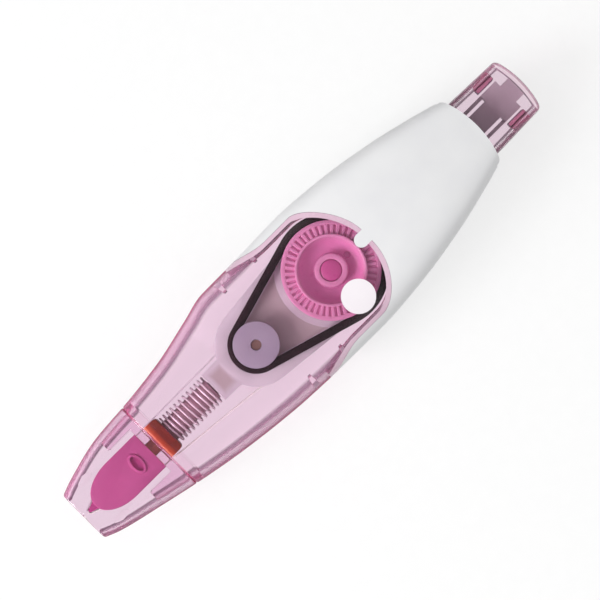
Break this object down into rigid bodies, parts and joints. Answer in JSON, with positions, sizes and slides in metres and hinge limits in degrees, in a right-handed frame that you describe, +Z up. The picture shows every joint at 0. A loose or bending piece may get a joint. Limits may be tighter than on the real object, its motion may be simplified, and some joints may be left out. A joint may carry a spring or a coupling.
{
  "type": "retractable correction tape",
  "caption": "Pen-type correction tape whose knock button pushes a cassette with a transfer head out of a clear nose; a belt couples its two reels.",
  "frame": {"origin": "centre of the bounding box in plan, on the flat belly that the tape rests on", "axes": "+X along the body from the open nose to the knock button, +Y to the side with the finger rest, +Z up from the belly through the window side"},
  "size_m": [0.1326, 0.0328, 0.0186],
  "materials": {
    "clear_pink": "clear, tinted pink",
    "clear_button": "clear, tinted pink",
    "white_cover": "satin white",
    "wheel_pink": "moulded pink",
    "head_pink": "moulded deep pink",
    "lilac": "moulded lilac",
    "grey_lilac": "moulded grey lilac",
    "orange": "moulded orange",
    "dark_neck": "moulded dark red brown",
    "tape_white": "matt correction film",
    "ribbon": "bare carrier film",
    "belt_rubber": "black rubber",
    "spring_steel": "drawn wire"
  },
  "bodies": {
    "housing": {"nose_sleeve": "clear_pink", "barrel_top": "clear_pink", "barrel_bottom": "clear_pink", "cover_top": "white_cover", "cover_bottom": "white_cover", "spring_seat": "orange", "return_spring": "spring_steel"},
    "carriage": {"refill_tray": "grey_lilac", "refill_deck": "grey_lilac", "head_shaft": "dark_neck", "transfer_head": "head_pink", "tape_feed": "tape_white", "tape_return": "ribbon", "drive_belt": "belt_rubber", "hub_cap": "head_pink"},
    "supply": {"supply_core": "grey_lilac", "tape_roll": "tape_white", "clutch_ring": "belt_rubber"},
    "winder": {"winder_wheel": "wheel_pink"},
    "takeup": {"takeup_core": "grey_lilac", "used_ribbon": "ribbon", "takeup_pulley": "lilac"},
    "knock": {"knock_button": "clear_button", "knock_rod": "grey_lilac"}
  },
  "joints": [
    {"name": "carriage_slide", "type": "slide", "parent": "housing", "child": "carriage", "axis": [-1, 0, 0], "range_m": [0, 0.007], "stiffness_N_per_m": 150, "springref_m": -0.004, "deforming": ["return_spring"]},
    {"name": "knock_slide", "type": "slide", "parent": "housing", "child": "knock", "axis": [-1, 0, 0], "range_m": [0, 0.007]},
    {"name": "supply_spin", "type": "hinge", "parent": "carriage", "child": "supply", "pos_m": [0.0086, 0, 0.008], "axis": [0, 0, 1], "continuous": true},
    {"name": "winder_spin", "type": "hinge", "parent": "carriage", "child": "winder", "pos_m": [0.0086, 0, 0.014], "axis": [0, 0, 1], "continuous": true},
    {"name": "takeup_spin", "type": "hinge", "parent": "carriage", "child": "takeup", "pos_m": [-0.014, 0, 0.008], "axis": [0, 0, 1], "continuous": true}
  ],
  "couplings": [
    {"joint": "knock_slide", "follows": "carriage_slide", "ratio": 1},
    {"joint": "winder_spin", "follows": "supply_spin", "ratio": 1},
    {"joint": "takeup_spin", "follows": "supply_spin", "ratio": 2.1698}
  ]
}
